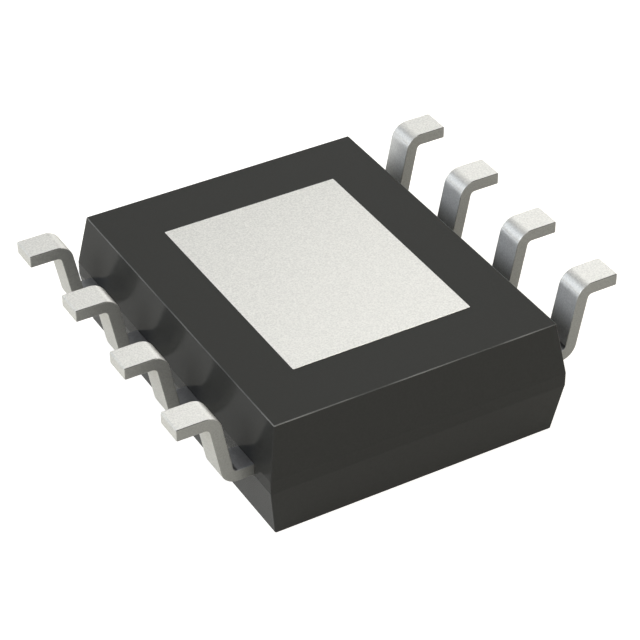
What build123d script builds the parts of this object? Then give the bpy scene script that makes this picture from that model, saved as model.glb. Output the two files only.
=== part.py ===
from build123d import *
import math
import os

# An eight-lead power package for a motor driver, lying on its marking face with the thermal pad upwards.
# The marking face is at Z 0, the leads leave along X and are spaced along Y. Lengths are in millimetres.

# Moulded body, measured over the flat band at its parting line
body_width = 3.98
body_length = 4.98
body_height = 1.55
parting_height = 0.772
band_height = 0.174
pad_side_draft = 8.9
marking_side_draft = 8.4
corner_round = 0.03
rim_break = 0.015

# Dimple in the marking face beside lead 1
dimple_diameter = 0.5
dimple_floor_diameter = 0.42
dimple_depth = 0.06
dimple_inset = 0.45

# Copper strip that the leads and the die pad are stamped from
strip_thickness = 0.16
bend_radius = 0.06
edge_break = 0.012

# Gull-wing leads, from the face of the moulding outwards
leads_per_side = 4
lead_pitch = 1.27
lead_width = 0.385
shoulder_length = 0.314
shank_lean = 10.9
foot_length = 0.465
foot_standoff = 0.165

# Inner fingers of the leads, from the face of the moulding inwards
finger_length = 0.70
finger_tip_depth = 0.28
middle_tip_length = 0.56
corner_tip_length = 0.72
anchor_notch_depth = 0.08
anchor_notch_length = 0.14
anchor_notch_inset = 0.20

# Die pad, with the land that the moulding leaves bare and the half-etched lip that locks it in
land_width = 2.39
land_length = 3.19
land_corner_radius = 0.04
lip_width = 0.12
lip_thickness = 0.08
tie_bar_width = 0.30
tie_bar_knee = 0.08
tie_bar_tail = 0.20
tie_bar_cover = 0.09

# Silicon die and the layer that fixes it to the die pad
die_width = 1.60
die_length = 2.30
die_thickness = 0.25
attach_thickness = 0.03
attach_squeeze_out = 0.06

# Bond wires, one to each signal lead and two to each lead that carries the motor's current
wires_on_lead = {1: 1, 2: 1, 3: 1, 4: 1, 5: 2, 6: 2, 7: 2, 8: 2}
wire_sides = 8
wire_diameter = 0.05
wire_bend_radius = 0.11
wire_pair_spacing = 0.12
wire_loop_rise = 0.17
wire_loop_dip = 0.03
ball_diameter = 0.11
ball_height = 0.03
stitch_diameter = 0.11
stitch_height = 0.018
bond_inset = 0.13

# Levels above the marking face
foot_plane = body_height + foot_standoff
flag_inner_face = body_height - strip_thickness
die_face = flag_inner_face - attach_thickness - die_thickness
lead_inner_face = parting_height - strip_thickness / 2
band_bottom = parting_height - band_height / 2
band_top = parting_height + band_height / 2

# Distances from the middle of the package
body_face = body_width / 2
finger_tip = body_face - finger_length
shank_start = body_face + shoulder_length
shank_rise = foot_plane - strip_thickness / 2 - parting_height
shank_end = shank_start + shank_rise * math.tan(math.radians(shank_lean))
toe = shank_end + foot_length

pieces = {}


def row_position(lead):
    """The side, -1 or 1 along X, and the Y position of a lead, counted around the package from lead 1."""
    first_side = lead <= leads_per_side
    place = lead - 1 if first_side else 2 * leads_per_side - lead
    side = -1 if first_side else 1
    return side, (place - (leads_per_side - 1) / 2) * lead_pitch


def is_corner(y):
    """Whether a lead is the last of its row."""
    return abs(y) > (leads_per_side - 2) / 2 * lead_pitch


def inner_finger(y):
    """The flat finger inside the moulding: a straight neck with a T-shaped tip, or an L at the corners."""
    centre = math.copysign(1, y)
    neck = Pos((finger_tip + body_face) / 2, 0) * Rectangle(finger_length, lead_width)
    tip_middle = finger_tip + finger_tip_depth / 2
    if is_corner(y):
        tip_shift = -centre * (corner_tip_length - lead_width) / 2
        tip = Pos(tip_middle, tip_shift) * Rectangle(finger_tip_depth, corner_tip_length)
    else:
        tip = Pos(tip_middle, 0) * Rectangle(finger_tip_depth, middle_tip_length)
    notch = Rectangle(anchor_notch_length, anchor_notch_depth)
    notch_place = body_face - anchor_notch_inset - anchor_notch_length / 2
    notch_offset = (lead_width - anchor_notch_depth) / 2
    outline = neck + tip
    for edge in (-1, 1):
        outline -= Pos(notch_place, edge * notch_offset) * notch
    return Pos(0, y, lead_inner_face) * extrude(outline, strip_thickness)


def gull_wing(y):
    """The formed part of a lead: the strip's section swept over the shoulder, the shank and the foot."""
    foot_middle = foot_plane - strip_thickness / 2
    root = body_face - strip_thickness
    path = FilletPolyline(
        (root, y, parting_height),
        (shank_start, y, parting_height),
        (shank_end, y, foot_middle),
        (toe, y, foot_middle),
        radius=bend_radius + strip_thickness / 2,
    )
    section = chamfer(Rectangle(lead_width, strip_thickness).vertices(), edge_break)
    start = Plane(origin=(root, y, parting_height), x_dir=(0, 1, 0), z_dir=(1, 0, 0))
    return sweep(start * section, path=path)


def make_lead(lead):
    """One lead, on its own side of the package."""
    side, y = row_position(lead)
    solid = gull_wing(y) + inner_finger(y)
    return solid if side > 0 else mirror(solid, Plane.YZ)


def stitch_point(lead):
    """Where the bond wires land on a lead's finger, as X and Y."""
    side, y = row_position(lead)
    x = side * (finger_tip + finger_tip_depth / 2)
    if is_corner(y):
        far_end = abs(y) + lead_width / 2 - corner_tip_length
        y = math.copysign(far_end + finger_tip_depth / 2, y)
    return x, y


def bond_pad_point(lead):
    """Where the bond wires of a lead start on the die, as X and Y."""
    side, y = row_position(lead)
    last_row = (leads_per_side - 1) / 2 * lead_pitch
    reach = die_length / 2 - bond_inset - wire_pair_spacing / 2
    return side * (die_width / 2 - bond_inset), y / last_row * reach


def bond_wire(lead, offset):
    """A wire from its ball on the die, up and over in a loop, down to a stitch on the lead's finger."""
    start = Vector(*bond_pad_point(lead)) + Vector(0, offset)
    end = Vector(*stitch_point(lead)) + Vector(0, offset)
    span = (end - start).length
    # The loop is drawn in the upright plane through both bonds, with its height measured off the die
    loop_plane = Plane(
        origin=(start.X, start.Y, die_face),
        x_dir=(end - start).normalized(),
        z_dir=(end - start).cross(Vector(0, 0, 1)).normalized(),
    )
    loop_top = lead_inner_face - wire_loop_rise - die_face
    lead_level = lead_inner_face - die_face
    path = FilletPolyline(
        loop_plane.from_local_coords((0, -ball_height / 2, 0)),
        loop_plane.from_local_coords((0, loop_top, 0)),
        loop_plane.from_local_coords((span / 2, loop_top + wire_loop_dip, 0)),
        loop_plane.from_local_coords((span, lead_level, 0)),
        radius=wire_bend_radius,
    )
    section = RegularPolygon(wire_diameter / 2, wire_sides)
    wire = sweep(Plane(origin=path @ 0, z_dir=path % 0) * section, path=path)
    ball_outline = Pos(start.X, start.Y, die_face) * RegularPolygon(ball_diameter / 2, wire_sides)
    ball = extrude(ball_outline, -ball_height)
    stitch_outline = Pos(end.X, end.Y, lead_inner_face) * RegularPolygon(stitch_diameter / 2, wire_sides)
    stitch = extrude(stitch_outline, -stitch_height)
    return wire + ball + stitch - pieces[f"lead_{lead}"]


def make_die_pad():
    """The flag: a land level with the face of the moulding, its lip, and a tie bar bent down at each end."""
    land_outline = RectangleRounded(land_width, land_length, land_corner_radius)
    land = Pos(0, 0, flag_inner_face) * extrude(land_outline, strip_thickness)
    lip_outline = RectangleRounded(
        land_width + 2 * lip_width, land_length + 2 * lip_width, land_corner_radius + lip_width
    )
    lip = Pos(0, 0, flag_inner_face) * extrude(lip_outline, lip_thickness)
    bar_level = flag_inner_face + lip_thickness / 2
    bar_end = body_length / 2 - tie_bar_cover
    path = FilletPolyline(
        (0, land_length / 2, bar_level),
        (0, land_length / 2 + lip_width + tie_bar_knee, bar_level),
        (0, bar_end - tie_bar_tail, parting_height),
        (0, bar_end, parting_height),
        radius=bend_radius + lip_thickness / 2,
    )
    start = Plane(origin=path @ 0, x_dir=(1, 0, 0), z_dir=(0, 1, 0))
    tie_bar = sweep(start * Rectangle(tie_bar_width, lip_thickness), path=path)
    return land + lip + tie_bar + mirror(tie_bar, Plane.XZ)


def make_die_attach():
    """The thin layer under the die, squeezed out a little around it and sloping up to its edge."""
    foot_outline = Rectangle(die_width + 2 * attach_squeeze_out, die_length + 2 * attach_squeeze_out)
    foot = Pos(0, 0, flag_inner_face) * foot_outline
    crest = Pos(0, 0, flag_inner_face - attach_thickness) * Rectangle(die_width, die_length)
    return loft([foot, crest])


def make_silicon_die():
    """The driver's chip, sawn square."""
    return Pos(0, 0, die_face) * extrude(Rectangle(die_width, die_length), die_thickness)


def moulded_half(level, draft):
    """One half of the moulding, from the band to a face at the given level, drawn in by its draft."""
    band_level = band_top if level > parting_height else band_bottom
    inset = abs(level - band_level) * math.tan(math.radians(draft))
    at_band = Pos(0, 0, band_level) * RectangleRounded(body_width, body_length, corner_round)
    at_face = Pos(0, 0, level) * RectangleRounded(body_width - 2 * inset, body_length - 2 * inset, corner_round)
    return loft([at_band, at_face])


def make_mould_body():
    """The epoxy moulding, cast around everything it holds."""
    band = Pos(0, 0, band_bottom) * extrude(RectangleRounded(body_width, body_length, corner_round), band_height)
    body = moulded_half(body_height, pad_side_draft) + band + moulded_half(0, marking_side_draft)
    rims = body.faces().sort_by(Axis.Z)[0].edges() + body.faces().sort_by(Axis.Z)[-1].edges()
    body = chamfer(rims, rim_break)
    face_inset = band_bottom * math.tan(math.radians(marking_side_draft)) + dimple_inset + dimple_diameter / 2
    side, row_end = row_position(1)
    dimple_x = side * (body_width / 2 - face_inset)
    dimple_y = math.copysign(body_length / 2 - face_inset, row_end)
    dimple = loft([
        Pos(dimple_x, dimple_y, 0) * Circle(dimple_diameter / 2),
        Pos(dimple_x, dimple_y, dimple_depth) * Circle(dimple_floor_diameter / 2),
    ])
    return body - dimple - list(pieces.values())


for lead in range(1, 2 * leads_per_side + 1):
    pieces[f"lead_{lead}"] = make_lead(lead)
pieces["die_pad"] = make_die_pad()
pieces["die_attach"] = make_die_attach()
pieces["silicon_die"] = make_silicon_die()
for lead, count in wires_on_lead.items():
    for copy in range(count):
        name = f"bond_wire_{lead}" + ("ab"[copy] if count > 1 else "")
        pieces[name] = bond_wire(lead, (copy - (count - 1) / 2) * wire_pair_spacing)
pieces["mould_body"] = make_mould_body()

os.makedirs("parts", exist_ok=True)
for name, piece in pieces.items():
    export_step(piece, f"parts/{name}.step")
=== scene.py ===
import bmesh
import bpy
import math
from mathutils import Euler, Matrix, Vector


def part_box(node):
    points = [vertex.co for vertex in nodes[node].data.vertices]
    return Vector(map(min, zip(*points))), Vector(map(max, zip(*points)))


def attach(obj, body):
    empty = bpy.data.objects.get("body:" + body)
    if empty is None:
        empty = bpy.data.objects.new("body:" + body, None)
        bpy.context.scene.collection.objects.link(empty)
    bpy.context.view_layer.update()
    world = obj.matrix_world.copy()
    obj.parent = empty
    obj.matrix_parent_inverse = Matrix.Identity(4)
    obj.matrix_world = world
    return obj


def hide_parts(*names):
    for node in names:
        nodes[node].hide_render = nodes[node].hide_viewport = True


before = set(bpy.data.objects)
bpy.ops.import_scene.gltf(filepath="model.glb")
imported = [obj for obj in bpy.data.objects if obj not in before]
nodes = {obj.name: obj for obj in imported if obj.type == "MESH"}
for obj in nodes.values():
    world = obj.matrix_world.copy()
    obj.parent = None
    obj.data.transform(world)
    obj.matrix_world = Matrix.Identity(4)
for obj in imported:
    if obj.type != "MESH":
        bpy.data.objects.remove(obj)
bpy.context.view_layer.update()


# Moulded body.
# Black epoxy compound filled with fused silica, transfer-moulded round the lead frame in a two-part mould.
# Its flat faces come matt off spark-eroded steel, and its drafted sides come shiny off polished steel.
# The rims of the flat faces are painted a lighter grey, in random patches, as a thin painted highlight line.

MM = 0.001
PARTING_LEVEL_MM = 0.772
BAND_HEIGHT_MM = 0.174
PAD_SIDE_DRAFT = math.radians(8.9)
MARKING_SIDE_DRAFT = math.radians(8.4)
UPRIGHT_CORNER_MM = 0.018
LEAST_CORNER_MM = 0.004
RIM_RADIUS_MM = 0.011
CORNER_STEPS = 5
RIM_STEPS = 6
LAND_WIDTH_MM = 2.39
LAND_LENGTH_MM = 3.19
LAND_CORNER_MM = 0.012
LAND_DEPTH_MM = 0.16
DIMPLE_MM = 0.5
DIMPLE_FLOOR_MM = 0.42
DIMPLE_DEPTH_MM = 0.06
DIMPLE_INSET_MM = 0.45
DIMPLE_STEPS = 48
FLAT_FACE_COMPOUND = "2D2D29"
SIDE_FACE_COMPOUND = "343432"
# The rims' lighter grey is a painted highlight
RIM_PAINTED_HIGHLIGHT = "5E5E5B"
FLAT_FACE_ROUGHNESS = 0.62
SIDE_FACE_ROUGHNESS = 0.14
PAINTED_RIM_ROUGHNESS = 0.3
ROUGHNESS_SPREAD = 0.1
# Clear epoxy has an index near 1.55, but a face broken by silica and fine pits mirrors less
FLAT_FACE_IOR = 1.35
SIDE_FACE_IOR = 1.22
SILICA_GRAIN_MM = 0.03
SILICA_GRAIN_DETAIL = 4.0
SILICA_GRAIN_SHADE = 0.1
EROSION_PIT_MM = 0.015
PIT_DETAIL = 3.0
PIT_DEPTH_MM = 0.002
FLAT_FACE_PITTING = 0.25
SIDE_FACE_PITTING = 0.02
# Random patches that vary the painted highlight along the rims
HIGHLIGHT_PATCH_MM = 0.7
HIGHLIGHT_PATCH_SPREAD = 0.15
HIGHLIGHT_PATCH_SHADE = 0.5
# Signs of X and Y at a rectangle's corners, counted from the first quarter
CORNER_SIGNS = ((1, 1), (-1, 1), (-1, -1), (1, -1))
FLAT_FACE_SLOT, SIDE_FACE_SLOT, PAINTED_RIM_SLOT = range(3)


def linear_colour(hex_code):
    """The linear colour that Blender takes, from an sRGB hex code."""
    channels = [int(hex_code[place:place + 2], 16) / 255 for place in (0, 2, 4)]
    linear = [c / 12.92 if c <= 0.04045 else ((c + 0.055) / 1.055) ** 2.4 for c in channels]
    return (*linear, 1.0)


def add_node(owner, kind, settings=None, inputs=None):
    """Adds a node, sets its properties, and gives each input a value or a link from another node's output."""
    node = owner.node_tree.nodes.new(kind)
    for name, value in (settings or {}).items():
        setattr(node, name, value)
    for name, value in (inputs or {}).items():
        if isinstance(value, bpy.types.NodeSocket):
            owner.node_tree.links.new(value, node.inputs[name])
        else:
            node.inputs[name].default_value = value
    return node


def new_material(name):
    """A node material with nothing in it yet."""
    material = bpy.data.materials.new(name)
    material.use_nodes = True
    material.node_tree.nodes.clear()
    return material


def even_normals(shape):
    """For each corner of each face, the normal of the faces that join smoothly there, weighed by area."""
    normals = []
    for face in shape.faces:
        for vertex in face.verts:
            joined = [face]
            for member in joined:
                for edge in member.edges:
                    if vertex in edge.verts and edge.smooth:
                        joined += [other for other in edge.link_faces if other not in joined]
            weighed = sum((member.normal * member.calc_area() / MM ** 2 for member in joined), Vector())
            normals.append(weighed.normalized())
    return normals


def new_piece(name, shape, materials):
    """Makes an object from a finished bmesh, which is emptied. Its crisp edges stay crisp."""
    mesh = bpy.data.meshes.new(name)
    normals = even_normals(shape)
    shape.to_mesh(mesh)
    shape.free()
    mesh.shade_smooth()
    mesh.normals_split_custom_set(normals)
    for material in materials:
        mesh.materials.append(material)
    piece = bpy.data.objects.new(name, mesh)
    bpy.context.scene.collection.objects.link(piece)
    return piece


def turned_corner(corner, into, out_of, radius, steps):
    """Points and directions on the arc that rounds a corner between two unit directions in a plane."""
    turn = into.angle_signed(out_of) * -1
    setback = radius * math.tan(abs(turn) / 2)
    start = corner - into * setback
    centre = start + Vector((-into.y, into.x)) * math.copysign(radius, turn)
    arc = []
    for step in range(steps + 1):
        turned = Matrix.Rotation(turn * step / steps, 2)
        arc.append((centre + turned @ (start - centre), turned @ into))
    return arc


def rounded_rectangle(half_width, half_length, corner_radius, steps):
    """Points round a rectangle with rounded corners. Both halves reach to the middles of the corner arcs."""
    points = []
    for quarter, (sign_x, sign_y) in enumerate(CORNER_SIGNS):
        for step in range(steps + 1):
            angle = math.pi / 2 * (quarter + step / steps)
            x = sign_x * half_width + corner_radius * math.cos(angle)
            y = sign_y * half_length + corner_radius * math.sin(angle)
            points.append((x, y))
    return points


def add_ring(shape, width, length, corner_radius, level):
    """A level ring of vertices round a rectangle with rounded corners. Its sizes are in millimetres."""
    outline = rounded_rectangle(
        width / 2 - corner_radius, length / 2 - corner_radius, corner_radius, CORNER_STEPS)
    return [shape.verts.new((x * MM, y * MM, level * MM)) for x, y in outline]


def join_rings(shape, lower, upper, slot_index=0):
    """Faces between two rings that have as many vertices."""
    for place, vertex in enumerate(lower):
        after = (place + 1) % len(lower)
        face = shape.faces.new((vertex, lower[after], upper[after], upper[place]))
        face.material_index = slot_index


def moulded_compound(name, colour, roughness, ior, pit_mm, pitting, highlight_patch_shade=0):
    """Black epoxy compound, mottled by silica grains, with the gloss of the steel that it was moulded on."""
    material = new_material(name)
    place = add_node(material, "ShaderNodeTexCoord")
    grain = add_node(material, "ShaderNodeTexNoise", inputs={
        "Vector": place.outputs["Object"], "Scale": 1 / (SILICA_GRAIN_MM * MM), "Detail": SILICA_GRAIN_DETAIL})
    shade = add_node(material, "ShaderNodeMapRange", inputs={
        "Value": grain.outputs["Fac"], "To Min": 1 - SILICA_GRAIN_SHADE, "To Max": 1 + SILICA_GRAIN_SHADE})
    lightness = shade.outputs["Result"]
    # On the rims, random patches vary the painted highlight
    if highlight_patch_shade:
        highlight_patches = add_node(material, "ShaderNodeTexNoise", inputs={
            "Vector": place.outputs["Object"], "Scale": 1 / (HIGHLIGHT_PATCH_MM * MM)})
        patch_lightness = add_node(material, "ShaderNodeMapRange", inputs={
            "Value": highlight_patches.outputs["Fac"],
            "From Min": 0.5 - HIGHLIGHT_PATCH_SPREAD, "From Max": 0.5 + HIGHLIGHT_PATCH_SPREAD,
            "To Min": 1 - highlight_patch_shade, "To Max": 1 + highlight_patch_shade})
        lightness = add_node(material, "ShaderNodeMath", {"operation": "MULTIPLY"}, {
            0: lightness, 1: patch_lightness.outputs["Result"]}).outputs[0]
    tint = add_node(material, "ShaderNodeVectorMath", {"operation": "SCALE"}, {
        0: linear_colour(colour)[:3], "Scale": lightness})
    pits = add_node(material, "ShaderNodeTexNoise", inputs={
        "Vector": place.outputs["Object"], "Scale": 1 / (pit_mm * MM), "Detail": PIT_DETAIL})
    sheen = add_node(material, "ShaderNodeMapRange", inputs={
        "Value": pits.outputs["Fac"],
        "To Min": roughness * (1 - ROUGHNESS_SPREAD), "To Max": roughness * (1 + ROUGHNESS_SPREAD)})
    relief = add_node(material, "ShaderNodeBump", inputs={
        "Height": pits.outputs["Fac"], "Strength": pitting, "Distance": PIT_DEPTH_MM * MM})
    compound = add_node(material, "ShaderNodeBsdfPrincipled", inputs={
        "Base Color": tint.outputs[0], "Roughness": sheen.outputs["Result"], "IOR": ior,
        "Normal": relief.outputs["Normal"]})
    add_node(material, "ShaderNodeOutputMaterial", inputs={"Surface": compound.outputs["BSDF"]})
    return material


def side_profile(face_level, draft, outward):
    """From the band to a flat face: each station's level, its inset from the band and its corner radius."""
    band_level = PARTING_LEVEL_MM + outward * BAND_HEIGHT_MM / 2
    height = abs(face_level - band_level)
    corner = Vector((height * math.tan(draft), height))
    stations = [(0, 0, UPRIGHT_CORNER_MM)]
    up_the_side = Vector((math.sin(draft), math.cos(draft)))
    for point, _ in turned_corner(corner, up_the_side, Vector((1, 0)), RIM_RADIUS_MM, RIM_STEPS):
        past_the_side = max(0, point.x - point.y * math.tan(draft))
        stations.append((point.y, point.x, max(LEAST_CORNER_MM, UPRIGHT_CORNER_MM - past_the_side)))
    return [(band_level + outward * rise, inset, radius) for rise, inset, radius in stations]


body_low, body_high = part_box("mould_body")
body_width = (body_high.x - body_low.x) / MM
body_length = (body_high.y - body_low.y) / MM
body_height = body_high.z / MM
marking_side = side_profile(0, MARKING_SIDE_DRAFT, -1)
pad_side = side_profile(body_height, PAD_SIDE_DRAFT, 1)
shape = bmesh.new()
rings = []
for level, inset, radius in marking_side[::-1] + pad_side:
    rings.append(add_ring(shape, body_width - 2 * inset, body_length - 2 * inset, radius, level))
for number, (lower, upper) in enumerate(zip(rings, rings[1:])):
    on_a_rim = number < RIM_STEPS or number >= len(rings) - 1 - RIM_STEPS
    join_rings(shape, lower, upper, PAINTED_RIM_SLOT if on_a_rim else SIDE_FACE_SLOT)

# The mouth and the seat of the land's pocket
mouth = add_ring(shape, LAND_WIDTH_MM, LAND_LENGTH_MM, LAND_CORNER_MM, body_height)
seat = add_ring(shape, LAND_WIDTH_MM, LAND_LENGTH_MM, LAND_CORNER_MM, body_height - LAND_DEPTH_MM)
join_rings(shape, rings[-1], mouth, FLAT_FACE_SLOT)
join_rings(shape, mouth, seat, FLAT_FACE_SLOT)
shape.faces.new(seat)

# The dimple that marks lead 1, and the marking face round it
dimple_x = -body_width / 2 + marking_side[-1][1] - RIM_RADIUS_MM + DIMPLE_INSET_MM + DIMPLE_MM / 2
dimple_y = dimple_x - (body_length - body_width) / 2
dimple_rings = []
for diameter, level in ((DIMPLE_MM, 0), (DIMPLE_FLOOR_MM, DIMPLE_DEPTH_MM)):
    ring = []
    for step in range(DIMPLE_STEPS):
        angle = 2 * math.pi * step / DIMPLE_STEPS
        x = dimple_x + diameter / 2 * math.cos(angle)
        y = dimple_y + diameter / 2 * math.sin(angle)
        ring.append(shape.verts.new((x * MM, y * MM, level * MM)))
    dimple_rings.append(ring)
join_rings(shape, dimple_rings[0], dimple_rings[1], FLAT_FACE_SLOT)
shape.faces.new(dimple_rings[1])
open_edges = [edge for edge in shape.edges if edge.is_boundary]
bmesh.ops.triangle_fill(shape, use_beauty=True, edges=open_edges, normal=(0, 0, -1))
bmesh.ops.recalc_face_normals(shape, faces=shape.faces)
crisp_rings = (rings[len(marking_side) - 1], rings[len(marking_side)], mouth, seat, *dimple_rings)
for ring in crisp_rings:
    for place, vertex in enumerate(ring):
        shape.edges.get((vertex, ring[place - 1])).smooth = False

# Off eroded steel it is matt and evenly black. Off polished steel it is smooth, and mirrors the leads darkly.
# The rims are painted a lighter grey in patches, as a painted highlight
flat_compound = moulded_compound(
    "epoxy_compound_off_eroded_steel", FLAT_FACE_COMPOUND, FLAT_FACE_ROUGHNESS, FLAT_FACE_IOR,
    EROSION_PIT_MM, FLAT_FACE_PITTING)
side_compound = moulded_compound(
    "epoxy_compound_off_polished_steel", SIDE_FACE_COMPOUND, SIDE_FACE_ROUGHNESS, SIDE_FACE_IOR,
    SILICA_GRAIN_MM, SIDE_FACE_PITTING)
painted_rim_compound = moulded_compound(
    "epoxy_compound_with_painted_rim_highlight", RIM_PAINTED_HIGHLIGHT, PAINTED_RIM_ROUGHNESS, FLAT_FACE_IOR,
    SILICA_GRAIN_MM, SIDE_FACE_PITTING, HIGHLIGHT_PATCH_SHADE)
moulding = new_piece("moulded_body", shape, [flat_compound, side_compound, painted_rim_compound])
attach(moulding, "root")
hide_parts("mould_body")


# Exposed land of the die pad.
# Copper strip with a thick, matt tin plate, left bare by the moulding to be soldered down.
# The plate stands a few thousandths of a millimetre proud, with a crisp edge against the black.

LAND_TIN = "D9D8D2"
LAND_ROUGHNESS = 0.36
LAND_MOTTLE = 0.14
TIN_ROUGHNESS_SPREAD = 0.05
# Between a metal and a pale solid, because the crystals scatter about a third of the light
TIN_METALLIC = 0.65
# Tin crystals are some 0.005 mm across, and are drawn as coarse as shows at this distance
TIN_CRYSTAL_MM = 0.02
CRYSTAL_DETAIL = 2.0
CRYSTAL_SPREAD = 0.2
CRYSTAL_RELIEF_MM = 0.003
CRYSTAL_RELIEF_STRENGTH = 0.5
LAND_PLATE_MM = 0.003
LAND_PLATE_ROUND_MM = 0.002
CREASE_ANGLE = math.radians(40)


def matt_tin(name, colour, roughness, mottle):
    """Matt tin plate: a soft white metal with a fine, even grain of crystals and no direction."""
    material = new_material(name)
    place = add_node(material, "ShaderNodeTexCoord")
    crystals = add_node(material, "ShaderNodeTexNoise", inputs={
        "Vector": place.outputs["Object"], "Scale": 1 / (TIN_CRYSTAL_MM * MM), "Detail": CRYSTAL_DETAIL})
    shade = add_node(material, "ShaderNodeMapRange", inputs={
        "Value": crystals.outputs["Fac"], "From Min": 0.5 - CRYSTAL_SPREAD, "From Max": 0.5 + CRYSTAL_SPREAD,
        "To Min": 1 - mottle, "To Max": 1 + mottle})
    tint = add_node(material, "ShaderNodeVectorMath", {"operation": "SCALE"}, {
        0: linear_colour(colour)[:3], "Scale": shade.outputs["Result"]})
    sheen = add_node(material, "ShaderNodeMapRange", inputs={
        "Value": crystals.outputs["Fac"], "From Min": 0.5 - CRYSTAL_SPREAD, "From Max": 0.5 + CRYSTAL_SPREAD,
        "To Min": roughness - TIN_ROUGHNESS_SPREAD, "To Max": roughness + TIN_ROUGHNESS_SPREAD})
    relief = add_node(material, "ShaderNodeBump", inputs={
        "Height": crystals.outputs["Fac"], "Strength": CRYSTAL_RELIEF_STRENGTH,
        "Distance": CRYSTAL_RELIEF_MM * MM})
    tin = add_node(material, "ShaderNodeBsdfPrincipled", inputs={
        "Base Color": tint.outputs[0], "Metallic": TIN_METALLIC, "Roughness": sheen.outputs["Result"],
        "Normal": relief.outputs["Normal"]})
    add_node(material, "ShaderNodeOutputMaterial", inputs={"Surface": tin.outputs["BSDF"]})
    return material


def finish_node(node_name, material):
    """Gives a CAD node's surface its material."""
    mesh = nodes[node_name].data
    mesh.materials.clear()
    mesh.materials.append(material)


def round_gentle_edges(shape):
    """Turns every face outwards, and lets only the edges that turn less than a crease shade smoothly."""
    bmesh.ops.recalc_face_normals(shape, faces=shape.faces)
    for edge in shape.edges:
        edge.smooth = edge.calc_face_angle(0) < CREASE_ANGLE


land_plate = matt_tin("matt_tin_on_land", LAND_TIN, LAND_ROUGHNESS, LAND_MOTTLE)
finish_node("die_pad", land_plate)
shape = bmesh.new()
plate_rings = []
plate_edge = (
    (-LAND_PLATE_MM, 0), (LAND_PLATE_MM - LAND_PLATE_ROUND_MM, 0), (LAND_PLATE_MM, LAND_PLATE_ROUND_MM))
for level, inset in plate_edge:
    plate_rings.append(add_ring(
        shape, LAND_WIDTH_MM - 2 * inset, LAND_LENGTH_MM - 2 * inset, LAND_CORNER_MM, body_height + level))
for lower, upper in zip(plate_rings, plate_rings[1:]):
    join_rings(shape, lower, upper)
shape.faces.new(plate_rings[0])
shape.faces.new(plate_rings[-1])
round_gentle_edges(shape)
plated_land = new_piece("tin_plate_on_land", shape, [land_plate])
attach(plated_land, "root")


# Solder under the die.
# Soft solder, melted under the silicon in forming gas and squeezed out a little around it.
# It is a dull grey metal, mottled where its grains froze at different times.

DIE_SOLDER = "A8A6A0"
SOLDER_ROUGHNESS = 0.4
SOLDER_GRAIN_MM = 0.04
GRAIN_MIDDLE_SHADE = 1.05
GRAIN_EDGE_SHADE = 0.85

solder = new_material("soft_solder_frozen_in_forming_gas")
place = add_node(solder, "ShaderNodeTexCoord")
grains = add_node(solder, "ShaderNodeTexVoronoi", inputs={
    "Vector": place.outputs["Object"], "Scale": 1 / (SOLDER_GRAIN_MM * MM)})
shade = add_node(solder, "ShaderNodeMapRange", inputs={
    "Value": grains.outputs["Distance"], "To Min": GRAIN_MIDDLE_SHADE, "To Max": GRAIN_EDGE_SHADE})
tint = add_node(solder, "ShaderNodeVectorMath", {"operation": "SCALE"}, {
    0: linear_colour(DIE_SOLDER)[:3], "Scale": shade.outputs["Result"]})
dull_metal = add_node(solder, "ShaderNodeBsdfPrincipled", inputs={
    "Base Color": tint.outputs[0], "Metallic": 1.0, "Roughness": SOLDER_ROUGHNESS})
add_node(solder, "ShaderNodeOutputMaterial", inputs={"Surface": dull_metal.outputs["BSDF"]})
finish_node("die_attach", solder)


# Silicon die.
# Sawn from a polished wafer, dark and glossy. The face towards the marking side carries broad, pale fields of
# aluminium over the driver's output transistors, and the sawn sides stay bare.

BARE_SILICON = "5A5D62"
ALUMINIUM_FIELD = "C4C3BD"
FIELD_GAP = "5E6B5C"
SILICON_METALLIC = 0.8
DIE_ROUGHNESS = 0.22
FIELD_MM = 0.3
FIELD_GAP_MM = 0.02
# A normal's Z below which a face looks towards the marking side
FACING_DOWN = -0.5

silicon = new_material("sawn_silicon_with_aluminium_fields")
place = add_node(silicon, "ShaderNodeTexCoord")
fields = add_node(silicon, "ShaderNodeTexBrick", {"offset": 0.0}, {
    "Vector": place.outputs["Object"], "Scale": 1 / MM, "Mortar Size": FIELD_GAP_MM,
    "Brick Width": 2 * FIELD_MM, "Row Height": FIELD_MM, "Color1": linear_colour(ALUMINIUM_FIELD),
    "Color2": linear_colour(ALUMINIUM_FIELD), "Mortar": linear_colour(FIELD_GAP)})
facing = add_node(silicon, "ShaderNodeSeparateXYZ", inputs={0: place.outputs["Normal"]})
on_active_face = add_node(silicon, "ShaderNodeMath", {"operation": "LESS_THAN"}, {
    0: facing.outputs["Z"], 1: FACING_DOWN})
surface = add_node(silicon, "ShaderNodeMix", {"data_type": "RGBA"}, {
    "Factor": on_active_face.outputs[0], "A": linear_colour(BARE_SILICON), "B": fields.outputs["Color"]})
polished = add_node(silicon, "ShaderNodeBsdfPrincipled", inputs={
    "Base Color": surface.outputs["Result"], "Metallic": SILICON_METALLIC, "Roughness": DIE_ROUGHNESS})
add_node(silicon, "ShaderNodeOutputMaterial", inputs={"Surface": polished.outputs["BSDF"]})
finish_node("silicon_die", silicon)


# Bond wires.
# Drawn gold wire, melted to a ball on the die and pressed flat on the finger of a lead.
# Drawing leaves it bright, with marks that are too fine to show and are drawn coarser here.

BOND_GOLD = "F0CC7A"
GOLD_ROUGHNESS = 0.25
GOLD_ROUGHNESS_SPREAD = 0.08
DRAWING_MARK_MM = 0.02
DRAWING_MARK_DETAIL = 2.0

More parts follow.
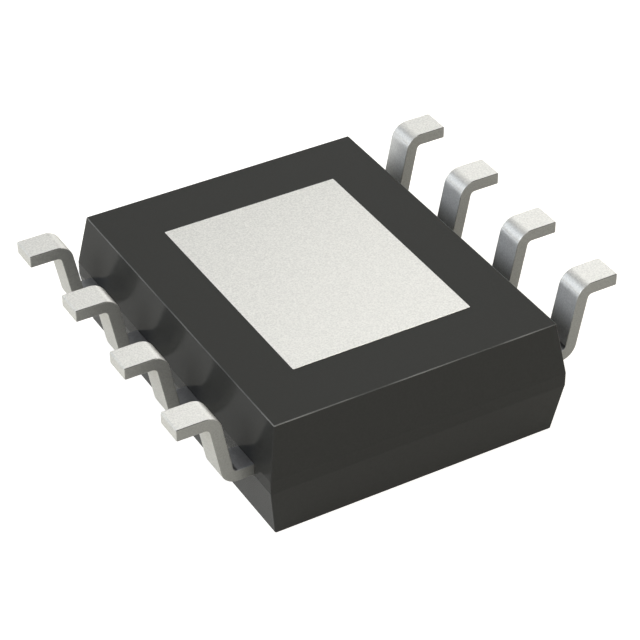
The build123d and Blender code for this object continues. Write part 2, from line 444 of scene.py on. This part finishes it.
gold = new_material("drawn_gold")
place = add_node(gold, "ShaderNodeTexCoord")
marks = add_node(gold, "ShaderNodeTexNoise", inputs={
    "Vector": place.outputs["Object"], "Scale": 1 / (DRAWING_MARK_MM * MM), "Detail": DRAWING_MARK_DETAIL})
sheen = add_node(gold, "ShaderNodeMapRange", inputs={
    "Value": marks.outputs["Fac"], "To Min": GOLD_ROUGHNESS - GOLD_ROUGHNESS_SPREAD,
    "To Max": GOLD_ROUGHNESS + GOLD_ROUGHNESS_SPREAD})
bright_metal = add_node(gold, "ShaderNodeBsdfPrincipled", inputs={
    "Base Color": linear_colour(BOND_GOLD), "Metallic": 1.0, "Roughness": sheen.outputs["Result"]})
add_node(gold, "ShaderNodeOutputMaterial", inputs={"Surface": bright_metal.outputs["BSDF"]})
for node_name in nodes:
    if node_name.startswith("bond_wire"):
        finish_node(node_name, gold)


# Leads.
# Each is stamped from copper strip, plated with tin after moulding, and formed into a gull wing.
# The shank's inner face is painted whiter as painted light, the shoulder next to the body is painted grey as
# painted shade, and the corners of the sole are painted dark as a painted reflection. The stamped edges are
# plated thinly. The inner finger stays in the moulding.

LEAD_TIN = "DCDBD5"
# Painted light: the shank's inner face, which faces the body, is drawn whiter
INNER_FACE_PAINTED_LIGHT = "EAEBE9"
STAMPED_EDGE_TIN = "9A9A96"
# Painted shade: the shoulder next to the body is drawn grey
SHOULDER_PAINTED_SHADE = "909193"
# Painted reflection: the sole's corners are drawn dark, as a thin dark line
SOLE_CORNER_DARK_REFLECTION = "5C5C5A"
LEAD_ROUGHNESS = 0.36
ROLLED_FACE_MOTTLE = 0.14
NON_ROLLED_FACE_MOTTLE = 0.1
LEAD_PITCH_MM = 1.27
LEADS_PER_SIDE = 4
LEAD_WIDTH_MM = 0.385
STRIP_MM = 0.16
SHOULDER_MM = 0.314
SHANK_LEAN = math.radians(10.9)
FOOT_LENGTH_MM = 0.465
BEND_RADIUS_MM = 0.14
EDGE_ROUND_MM = 0.012
TOE_ROUND_MM = 0.016
FINGER_LENGTH_MM = 0.70
FINGER_TIP_MM = 0.28
MIDDLE_TIP_MM = 0.56
CORNER_TIP_MM = 0.72
NOTCH_DEPTH_MM = 0.08
NOTCH_LENGTH_MM = 0.14
NOTCH_INSET_MM = 0.20
BEND_STEPS = 14
EDGE_STEPS = 4
# How far a face's normal points the given way, from 0 to 1, for the face to have that finish
STAMPED_EDGE_TURN = 0.7
SOLE_CORNER_TURN = 0.4
SHOULDER_TURN = 0.2
INNER_FACE_TURN = 0.9
ROLLED_FACE_SLOT, STAMPED_EDGE_SLOT, SOLE_CORNER_SLOT, SHADED_SHOULDER_SLOT, INNER_FACE_SLOT = range(5)

lead_low, lead_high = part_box("lead_1")
body_face = body_width / 2
sole_level = lead_high.z / MM
strip_level = lead_low.z / MM + STRIP_MM / 2
# The rolled faces look like the land, and the stamped edges are greyer. The sole's corners are painted dark as
# a painted reflection, the shoulder is painted grey as painted shade, and the shank's inner face is painted
# whiter as painted light
lead_finishes = [
    matt_tin("matt_tin_on_rolled_faces", LEAD_TIN, LEAD_ROUGHNESS, ROLLED_FACE_MOTTLE),
    matt_tin("thin_tin_on_stamped_edges", STAMPED_EDGE_TIN, LEAD_ROUGHNESS, NON_ROLLED_FACE_MOTTLE),
    matt_tin("tin_with_painted_dark_reflection_on_sole_corners", SOLE_CORNER_DARK_REFLECTION, LEAD_ROUGHNESS, NON_ROLLED_FACE_MOTTLE),
    matt_tin("tin_with_painted_shade_on_shoulder", SHOULDER_PAINTED_SHADE, LEAD_ROUGHNESS, NON_ROLLED_FACE_MOTTLE),
    matt_tin("tin_with_painted_light_on_inner_face", INNER_FACE_PAINTED_LIGHT, LEAD_ROUGHNESS, NON_ROLLED_FACE_MOTTLE),
]


def centre_line():
    """The middle of the strip as seen along the row: stations of position and direction in the XZ plane."""
    rise = sole_level - STRIP_MM / 2 - strip_level
    shoulder_end = Vector((body_face + SHOULDER_MM, strip_level))
    foot_start = shoulder_end + Vector((rise * math.tan(SHANK_LEAN), rise))
    toe = foot_start + Vector((FOOT_LENGTH_MM, 0))
    outwards = Vector((1, 0))
    up_the_shank = (foot_start - shoulder_end).normalized()
    stations = [(Vector((body_face - STRIP_MM, strip_level)), outwards)]
    stations += turned_corner(shoulder_end, outwards, up_the_shank, BEND_RADIUS_MM, BEND_STEPS)
    stations += turned_corner(foot_start, up_the_shank, outwards, BEND_RADIUS_MM, BEND_STEPS)
    for step in range(EDGE_STEPS + 1):
        lag = 1 - math.sin(math.pi / 2 * step / EDGE_STEPS)
        stations.append((toe - outwards * TOE_ROUND_MM * lag, outwards))
    return stations


def strip_section(inset):
    """The strip's rounded section, as offsets across the lead and through the strip."""
    half_width = LEAD_WIDTH_MM / 2 - inset - EDGE_ROUND_MM
    half_strip = STRIP_MM / 2 - inset - EDGE_ROUND_MM
    return rounded_rectangle(half_width, half_strip, EDGE_ROUND_MM, EDGE_STEPS)


def add_gull_wing(shape, side, row_y):
    """Sweeps the section along the centre line, and rounds it in at the toe."""
    stations = centre_line()
    rings = []
    for number, (position, direction) in enumerate(stations):
        steps_from_toe = len(stations) - 1 - number
        part_way = max(0, 1 - steps_from_toe / EDGE_STEPS)
        inset = TOE_ROUND_MM * (1 - math.cos(math.pi / 2 * part_way))
        normal = Vector((-direction.y, direction.x))
        ring = []
        for across, through in strip_section(inset):
            point = position + normal * through
            ring.append(shape.verts.new((side * point.x * MM, (row_y + across) * MM, point.y * MM)))
        rings.append(ring)
    for ring, following in zip(rings, rings[1:]):
        join_rings(shape, ring, following)
    shape.faces.new(rings[0])
    shape.faces.new(rings[-1])


def add_inner_finger(shape, side, row_y):
    """The flat finger in the moulding: a notched neck with a T-shaped tip, or an L at the ends of the row."""
    half_neck = LEAD_WIDTH_MM / 2
    neck_end = body_face - STRIP_MM
    tip_start = body_face - FINGER_LENGTH_MM
    tip_end = tip_start + FINGER_TIP_MM
    notch_start = body_face - NOTCH_INSET_MM
    notch_end = notch_start - NOTCH_LENGTH_MM
    waist = half_neck - NOTCH_DEPTH_MM
    tip_reach = {1: MIDDLE_TIP_MM / 2, -1: MIDDLE_TIP_MM / 2}
    if abs(row_y) > LEAD_PITCH_MM:
        outermost = math.copysign(1, row_y)
        tip_reach = {outermost: half_neck, -outermost: CORNER_TIP_MM - half_neck}
    outline = []
    for edge in (1, -1):
        neck = [
            (neck_end, half_neck), (notch_start, half_neck), (notch_start, waist), (notch_end, waist),
            (notch_end, half_neck)]
        tip_shoulder = [(tip_end, half_neck), (tip_end, tip_reach[edge])]
        if tip_reach[edge] == half_neck:
            tip_shoulder = []
        half_outline = neck + tip_shoulder + [(tip_start, tip_reach[edge])]
        outline += [(x, edge * y) for x, y in half_outline[::edge]]
    faces = []
    for level in (strip_level - STRIP_MM / 2, strip_level + STRIP_MM / 2):
        faces.append([shape.verts.new((side * x * MM, (row_y + y) * MM, level * MM)) for x, y in outline])
    join_rings(shape, *faces)
    shape.faces.new(faces[0])
    shape.faces.new(faces[1])


def finish_slot(face, side):
    """Which of the lead's finishes a face has, from where it lies and which way it turns."""
    level = face.calc_center_median().z
    above_strip = level / MM - strip_level
    sideways = abs(face.normal.y)
    upwards = face.normal.z
    # The shank's inner face gets painted light
    if side * face.normal.x < -INNER_FACE_TURN and above_strip > STRIP_MM:
        return INNER_FACE_SLOT
    # The shoulder's top gets painted shade
    if upwards > SHOULDER_TURN and above_strip < STRIP_MM:
        return SHADED_SHOULDER_SLOT
    # The sole's corners get a painted dark reflection
    at_the_sole = level > (sole_level - EDGE_ROUND_MM) * MM
    if sideways > SOLE_CORNER_TURN and upwards > SOLE_CORNER_TURN and at_the_sole:
        return SOLE_CORNER_SLOT
    return STAMPED_EDGE_SLOT if sideways > STAMPED_EDGE_TURN else ROLLED_FACE_SLOT


for number in range(1, 2 * LEADS_PER_SIDE + 1):
    on_first_side = number <= LEADS_PER_SIDE
    place_in_row = number - 1 if on_first_side else 2 * LEADS_PER_SIDE - number
    side_of_body = -1 if on_first_side else 1
    row_position = (place_in_row - (LEADS_PER_SIDE - 1) / 2) * LEAD_PITCH_MM
    shape = bmesh.new()
    add_gull_wing(shape, side_of_body, row_position)
    add_inner_finger(shape, side_of_body, row_position)
    round_gentle_edges(shape)
    for face in shape.faces:
        face.material_index = finish_slot(face, side_of_body)
    lead = new_piece(f"gull_wing_lead_{number}", shape, lead_finishes)
    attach(lead, "root")
    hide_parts(f"lead_{number}")


# Floor.
# A plain sheet of white paper that the package lies on, with the package's soft shadow on it.
# The camera sees the paper a little lifted, so that it is white, and gloss and metal mirror it lifted too.

FLOOR_WIDTH_MM = 66
FLOOR_GAP_MM = 0.001
FLOOR_WHITE = "DAD7CE"
LIFT_TO_CAMERA = 0.75
LIFT_IN_GLOSS = 0.15

half_floor = FLOOR_WIDTH_MM / 2 * MM
shape = bmesh.new()
shape.faces.new([
    shape.verts.new((x * half_floor, y * half_floor, -FLOOR_GAP_MM * MM))
    for x, y in ((-1, -1), (1, -1), (1, 1), (-1, 1))])
paper = new_material("white_paper")
seen_by = add_node(paper, "ShaderNodeLightPath")
in_gloss = add_node(paper, "ShaderNodeMath", {"operation": "MAXIMUM"}, {
    0: seen_by.outputs["Is Glossy Ray"], 1: seen_by.outputs["Is Transmission Ray"]})
gloss_lift = add_node(paper, "ShaderNodeMath", {"operation": "MULTIPLY"}, {
    0: in_gloss.outputs[0], 1: LIFT_IN_GLOSS})
lift = add_node(paper, "ShaderNodeMath", {"operation": "MULTIPLY_ADD"}, {
    0: seen_by.outputs["Is Camera Ray"], 1: LIFT_TO_CAMERA, 2: gloss_lift.outputs[0]})
sheet = add_node(paper, "ShaderNodeBsdfDiffuse", inputs={"Color": linear_colour(FLOOR_WHITE)})
lifted = add_node(paper, "ShaderNodeEmission", inputs={"Strength": lift.outputs[0]})
white = add_node(paper, "ShaderNodeAddShader", inputs={0: sheet.outputs[0], 1: lifted.outputs[0]})
add_node(paper, "ShaderNodeOutputMaterial", inputs={"Surface": white.outputs[0]})
new_piece("floor", shape, [paper])


# Studio.
# A room whose walls are pale at the floor and darken towards the ceiling. A lamp stands on each side, the left
# one larger. Dim boards stand in front, on the left and at the back, where their sheen shows in the tin.
# Each is a round area light that faces the package. Azimuths are in degrees from +Y towards +X.

WALL_LIGHT = 1.0
CEILING_LIGHT = 0.05
# The sine of the elevation at which the walls end
WALL_TOP = 0.5
LAMP_DISTANCE_MM = 40
LAMPS = {
    "left_lamp": {"azimuth": -95, "elevation": 38, "diameter": 24, "watts": 0.0094, "colour": "F4F8FF"},
    "right_lamp": {"azimuth": 140, "elevation": 45, "diameter": 14, "watts": 0.0045, "colour": "FFFCF5"},
    "front_board": {"azimuth": 172, "elevation": 20, "diameter": 24, "watts": 0.0019, "colour": "FFFFFF"},
    "left_board": {"azimuth": -44, "elevation": 32, "diameter": 26, "watts": 0.0023, "colour": "E9F2FF"},
    "low_back_board": {"azimuth": 12, "elevation": 44, "diameter": 28, "watts": 0.0017, "colour": "FFFFFF"},
    "high_back_board": {"azimuth": 43, "elevation": 50, "diameter": 24, "watts": 0.0014, "colour": "FFFFFF"},
    "corner_board": {"azimuth": 56, "elevation": 32, "diameter": 28, "watts": 0.0014, "colour": "FFFFFF"},
    "horizon_board": {"azimuth": 43, "elevation": 13, "diameter": 18, "watts": 0.0006, "colour": "FFFFFF"},
}

world = bpy.data.worlds.new("grey_room")
bpy.context.scene.world = world
world.use_nodes = True
world.node_tree.nodes.clear()
direction = add_node(world, "ShaderNodeTexCoord")
height = add_node(world, "ShaderNodeSeparateXYZ", inputs={0: direction.outputs["Generated"]})
wall = add_node(world, "ShaderNodeMapRange", inputs={
    "Value": height.outputs["Z"], "From Max": WALL_TOP, "To Min": WALL_LIGHT, "To Max": CEILING_LIGHT})
room = add_node(world, "ShaderNodeBackground", inputs={
    "Color": linear_colour("FFFFFF"), "Strength": wall.outputs["Result"]})
add_node(world, "ShaderNodeOutputWorld", inputs={"Surface": room.outputs["Background"]})

for name, lamp in LAMPS.items():
    lamp_data = bpy.data.lights.new(name, "AREA")
    lamp_data.shape = "DISK"
    lamp_data.size = lamp["diameter"] * MM
    lamp_data.energy = lamp["watts"]
    lamp_data.color = linear_colour(lamp["colour"])[:3]
    turn = Euler((math.radians(90 - lamp["elevation"]), 0, math.radians(180 - lamp["azimuth"])))
    lamp_object = bpy.data.objects.new(name, lamp_data)
    lamp_object.rotation_euler = turn
    lamp_object.location = turn.to_matrix() @ Vector((0, 0, LAMP_DISTANCE_MM * MM))
    bpy.context.scene.collection.objects.link(lamp_object)


# Camera.
# Fitted to the photograph's edges: it looks down along the rows of leads, from the near left.

FRAME_PIXELS = 640
FOCAL_PIXELS = 2391.5
SENSOR_MM = 36
CAMERA_PLACE_MM = (-11.6607, -20.3542, 18.0483)
CAMERA_YAW = math.radians(29.976)
CAMERA_PITCH = math.radians(-36.346)
CAMERA_ROLL = math.radians(-0.145)
NEAREST_SEEN_MM = 1
FARTHEST_SEEN_MM = 10000

lens = bpy.data.cameras.new("camera")
lens.sensor_width = SENSOR_MM
lens.lens = FOCAL_PIXELS / FRAME_PIXELS * SENSOR_MM
lens.clip_start = NEAREST_SEEN_MM * MM
lens.clip_end = FARTHEST_SEEN_MM * MM
camera = bpy.data.objects.new("camera", lens)
camera.location = Vector(CAMERA_PLACE_MM) * MM
turn_to_view = Euler((math.pi / 2 + CAMERA_PITCH, 0, -CAMERA_YAW)).to_matrix()
camera.rotation_euler = (turn_to_view @ Matrix.Rotation(CAMERA_ROLL, 3, "Z")).to_euler()
bpy.context.scene.collection.objects.link(camera)
bpy.context.scene.camera = camera
bpy.context.scene.view_settings.view_transform = "Standard"
